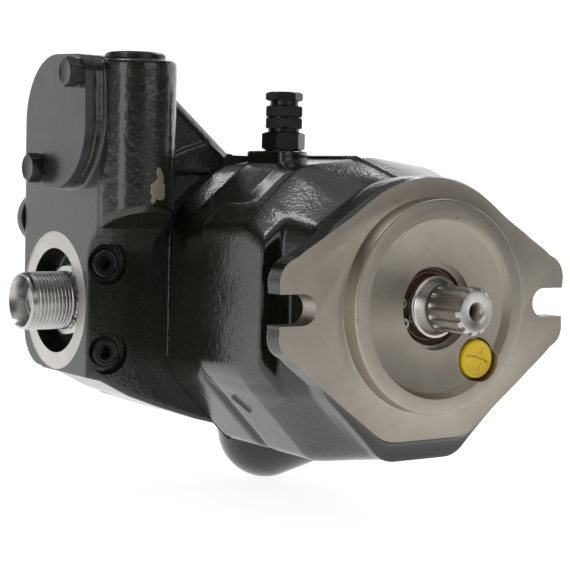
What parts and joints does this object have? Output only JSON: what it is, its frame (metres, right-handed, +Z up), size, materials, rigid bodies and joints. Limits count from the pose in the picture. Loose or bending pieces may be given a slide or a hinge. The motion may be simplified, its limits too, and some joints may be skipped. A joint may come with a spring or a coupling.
{
  "type": "axial piston pump",
  "caption": "Variable displacement swash-plate hydraulic pump with a two-bolt flange, splined drive shaft, side pressure nipple and rear suction port.",
  "frame": {"origin": "centre of the mounting flange's face, on the shaft axis", "axes": "+X out along the drive shaft, +Z up towards the test port and valve tower, pressure port facing -Y, suction port facing +Y"},
  "size_m": [0.2423, 0.2215, 0.2278],
  "materials": {
    "cast_paint": "black gloss paint over a sand-cast surface",
    "cover_paint": "black satin paint",
    "gasket": "fibre gasket",
    "ground_steel": "ground steel",
    "bearing_steel": "polished hardened steel",
    "plated_steel": "zinc plated turned steel",
    "spring_steel": "oiled spring steel",
    "barrel_steel": "nitrided steel barrel",
    "cage_brass": "machined brass cage",
    "bronze": "bearing bronze",
    "seal_rubber": "brown fluoroelastomer",
    "black_oxide": "black oxide with an oily sheen",
    "yellow_plastic": "moulded yellow plastic"
  },
  "bodies": {
    "case": {"housing": "cast_paint", "port_block": "cast_paint", "housing_gasket": "gasket", "shaft_seal": "seal_rubber", "seal_retaining_ring": "spring_steel", "front_bearing_outer_race": "bearing_steel", "rear_bearing_outer_race": "bearing_steel", "cylinder_barrel": "barrel_steel", "retaining_ball": "ground_steel", "barrel_spring": "spring_steel", "valve_plate": "bronze", "valve_plate_pin": "bearing_steel", "cradle_bearings": "bronze", "bias_spring": "spring_steel", "valve_cover": "cover_paint", "valve_cover_gasket": "gasket", "valve_cover_bolts": "black_oxide", "outlet_nipple": "plated_steel", "nipple_seal": "seal_rubber", "spool_spring": "spring_steel", "tower_plug": "cover_paint", "oilway_plugs": "black_oxide", "rear_plug": "cover_paint", "test_port_adapter": "black_oxide", "test_port_coupling": "black_oxide", "test_port_cap": "black_oxide", "drain_plug": "yellow_plastic", "port_block_screws": "black_oxide"},
    "shaft": {"drive_shaft": "ground_steel", "front_bearing_inner_race": "bearing_steel", "rear_bearing_inner_race": "bearing_steel"},
    "front_roller_set": {"front_bearing_rollers": "bearing_steel", "front_bearing_cage": "cage_brass"},
    "rear_roller_set": {"rear_bearing_rollers": "bearing_steel", "rear_bearing_cage": "cage_brass"},
    "swash": {"swash_plate": "ground_steel"},
    "retainer": {"retainer_plate": "bearing_steel"},
    "stroking": {"stroking_piston": "ground_steel"},
    "bias_guide": {"bias_spring_guide": "ground_steel"},
    "spool": {"valve_spool": "ground_steel"},
    "piston_set_1": {"piston_1": "bearing_steel"},
    "slipper_set_1": {"slipper_1": "bronze"},
    "piston_set_2": {"piston_2": "bearing_steel"},
    "slipper_set_2": {"slipper_2": "bronze"},
    "piston_set_3": {"piston_3": "bearing_steel"},
    "slipper_set_3": {"slipper_3": "bronze"},
    "piston_set_4": {"piston_4": "bearing_steel"},
    "slipper_set_4": {"slipper_4": "bronze"},
    "piston_set_5": {"piston_5": "bearing_steel"},
    "slipper_set_5": {"slipper_5": "bronze"},
    "piston_set_6": {"piston_6": "bearing_steel"},
    "slipper_set_6": {"slipper_6": "bronze"},
    "piston_set_7": {"piston_7": "bearing_steel"},
    "slipper_set_7": {"slipper_7": "bronze"},
    "piston_set_8": {"piston_8": "bearing_steel"},
    "slipper_set_8": {"slipper_8": "bronze"},
    "piston_set_9": {"piston_9": "bearing_steel"},
    "slipper_set_9": {"slipper_9": "bronze"}
  },
  "joints": [
    {"name": "shaft_spin", "type": "hinge", "parent": "case", "child": "shaft", "pos_m": [0, 0, 0], "axis": [1, 0, 0], "continuous": true},
    {"name": "front_rollers_orbit", "type": "hinge", "parent": "case", "child": "front_roller_set", "pos_m": [-0.016, 0, 0], "axis": [1, 0, 0], "continuous": true},
    {"name": "rear_rollers_orbit", "type": "hinge", "parent": "case", "child": "rear_roller_set", "pos_m": [-0.134, 0, 0], "axis": [1, 0, 0], "continuous": true},
    {"name": "swash_tilt", "type": "hinge", "parent": "case", "child": "swash", "pos_m": [-0.06, 0, 0], "axis": [0, 1, 0], "range_deg": [0, 16]},
    {"name": "retainer_tilt", "type": "hinge", "parent": "case", "child": "retainer", "pos_m": [-0.06, 0, 0], "axis": [0, 1, 0], "range_deg": [0, 16]},
    {"name": "piston_1_stroke", "type": "slide", "parent": "case", "child": "piston_set_1", "axis": [1, 0, 0], "range_m": [-0.00002, 0.00928]},
    {"name": "slipper_1_tilt", "type": "hinge", "parent": "piston_set_1", "child": "slipper_set_1", "pos_m": [-0.06, 0, 0.0325], "axis": [0, 1, 0], "range_deg": [0, 16]},
    {"name": "piston_2_stroke", "type": "slide", "parent": "case", "child": "piston_set_2", "axis": [1, 0, 0], "range_m": [-0.00002, 0.00711]},
    {"name": "slipper_2_tilt", "type": "hinge", "parent": "piston_set_2", "child": "slipper_set_2", "pos_m": [-0.06, -0.02089, 0.0249], "axis": [0, 1, 0], "range_deg": [0, 16]},
    {"name": "piston_3_stroke", "type": "slide", "parent": "case", "child": "piston_set_3", "axis": [1, 0, 0], "range_m": [-0.00002, 0.00163]},
    {"name": "slipper_3_tilt", "type": "hinge", "parent": "piston_set_3", "child": "slipper_set_3", "pos_m": [-0.06, -0.03201, 0.00564], "axis": [0, 1, 0], "range_deg": [0, 16]},
    {"name": "piston_4_stroke", "type": "slide", "parent": "case", "child": "piston_set_4", "axis": [1, 0, 0], "range_m": [-0.00465, 0.00002]},
    {"name": "slipper_4_tilt", "type": "hinge", "parent": "piston_set_4", "child": "slipper_set_4", "pos_m": [-0.06, -0.02815, -0.01625], "axis": [0, 1, 0], "range_deg": [0, 16]},
    {"name": "piston_5_stroke", "type": "slide", "parent": "case", "child": "piston_set_5", "axis": [1, 0, 0], "range_m": [-0.00872, 0.00002]},
    {"name": "slipper_5_tilt", "type": "hinge", "parent": "piston_set_5", "child": "slipper_set_5", "pos_m": [-0.06, -0.01112, -0.03054], "axis": [0, 1, 0], "range_deg": [0, 16]},
    {"name": "piston_6_stroke", "type": "slide", "parent": "case", "child": "piston_set_6", "axis": [1, 0, 0], "range_m": [-0.00872, 0.00002]},
    {"name": "slipper_6_tilt", "type": "hinge", "parent": "piston_set_6", "child": "slipper_set_6", "pos_m": [-0.06, 0.01112, -0.03054], "axis": [0, 1, 0], "range_deg": [0, 16]},
    {"name": "piston_7_stroke", "type": "slide", "parent": "case", "child": "piston_set_7", "axis": [1, 0, 0], "range_m": [-0.00465, 0.00002]},
    {"name": "slipper_7_tilt", "type": "hinge", "parent": "piston_set_7", "child": "slipper_set_7", "pos_m": [-0.06, 0.02815, -0.01625], "axis": [0, 1, 0], "range_deg": [0, 16]},
    {"name": "piston_8_stroke", "type": "slide", "parent": "case", "child": "piston_set_8", "axis": [1, 0, 0], "range_m": [-0.00002, 0.00163]},
    {"name": "slipper_8_tilt", "type": "hinge", "parent": "piston_set_8", "child": "slipper_set_8", "pos_m": [-0.06, 0.03201, 0.00564], "axis": [0, 1, 0], "range_deg": [0, 16]},
    {"name": "piston_9_stroke", "type": "slide", "parent": "case", "child": "piston_set_9", "axis": [1, 0, 0], "range_m": [-0.00002, 0.00711]},
    {"name": "slipper_9_tilt", "type": "hinge", "parent": "piston_set_9", "child": "slipper_set_9", "pos_m": [-0.06, 0.02089, 0.0249], "axis": [0, 1, 0], "range_deg": [0, 16]},
    {"name": "stroking_piston_slide", "type": "slide", "parent": "case", "child": "stroking", "axis": [1, 0, 0], "range_m": [-0.0172, 0]},
    {"name": "bias_guide_slide", "type": "slide", "parent": "case", "child": "bias_guide", "axis": [1, 0, 0], "range_m": [0, 0.0161]},
    {"name": "spool_slide", "type": "slide", "parent": "case", "child": "spool", "axis": [0, 0, 1], "range_m": [0, 0.004], "stiffness_N_per_m": 9000, "springref_m": -0.002, "deforming": ["spool_spring"]}
  ],
  "couplings": [
    {"joint": "front_rollers_orbit", "follows": "shaft_spin", "ratio": 0.4034},
    {"joint": "rear_rollers_orbit", "follows": "shaft_spin", "ratio": 0.4091},
    {"joint": "retainer_tilt", "follows": "swash_tilt", "ratio": 1},
    {"joint": "piston_1_stroke", "follows": "swash_tilt", "m_per_rad": 0.03315},
    {"joint": "slipper_1_tilt", "follows": "swash_tilt", "ratio": 1},
    {"joint": "piston_2_stroke", "follows": "swash_tilt", "m_per_rad": 0.025394},
    {"joint": "slipper_2_tilt", "follows": "swash_tilt", "ratio": 1},
    {"joint": "piston_3_stroke", "follows": "swash_tilt", "m_per_rad": 0.0057564},
    {"joint": "slipper_3_tilt", "follows": "swash_tilt", "ratio": 1},
    {"joint": "piston_4_stroke", "follows": "swash_tilt", "m_per_rad": -0.016575},
    {"joint": "slipper_4_tilt", "follows": "swash_tilt", "ratio": 1},
    {"joint": "piston_5_stroke", "follows": "swash_tilt", "m_per_rad": -0.031151},
    {"joint": "slipper_5_tilt", "follows": "swash_tilt", "ratio": 1},
    {"joint": "piston_6_stroke", "follows": "swash_tilt", "m_per_rad": -0.031151},
    {"joint": "slipper_6_tilt", "follows": "swash_tilt", "ratio": 1},
    {"joint": "piston_7_stroke", "follows": "swash_tilt", "m_per_rad": -0.016575},
    {"joint": "slipper_7_tilt", "follows": "swash_tilt", "ratio": 1},
    {"joint": "piston_8_stroke", "follows": "swash_tilt", "m_per_rad": 0.0057564},
    {"joint": "slipper_8_tilt", "follows": "swash_tilt", "ratio": 1},
    {"joint": "piston_9_stroke", "follows": "swash_tilt", "m_per_rad": 0.025394},
    {"joint": "slipper_9_tilt", "follows": "swash_tilt", "ratio": 1},
    {"joint": "stroking_piston_slide", "follows": "swash_tilt", "m_per_rad": -0.0611},
    {"joint": "bias_guide_slide", "follows": "swash_tilt", "m_per_rad": 0.057}
  ]
}
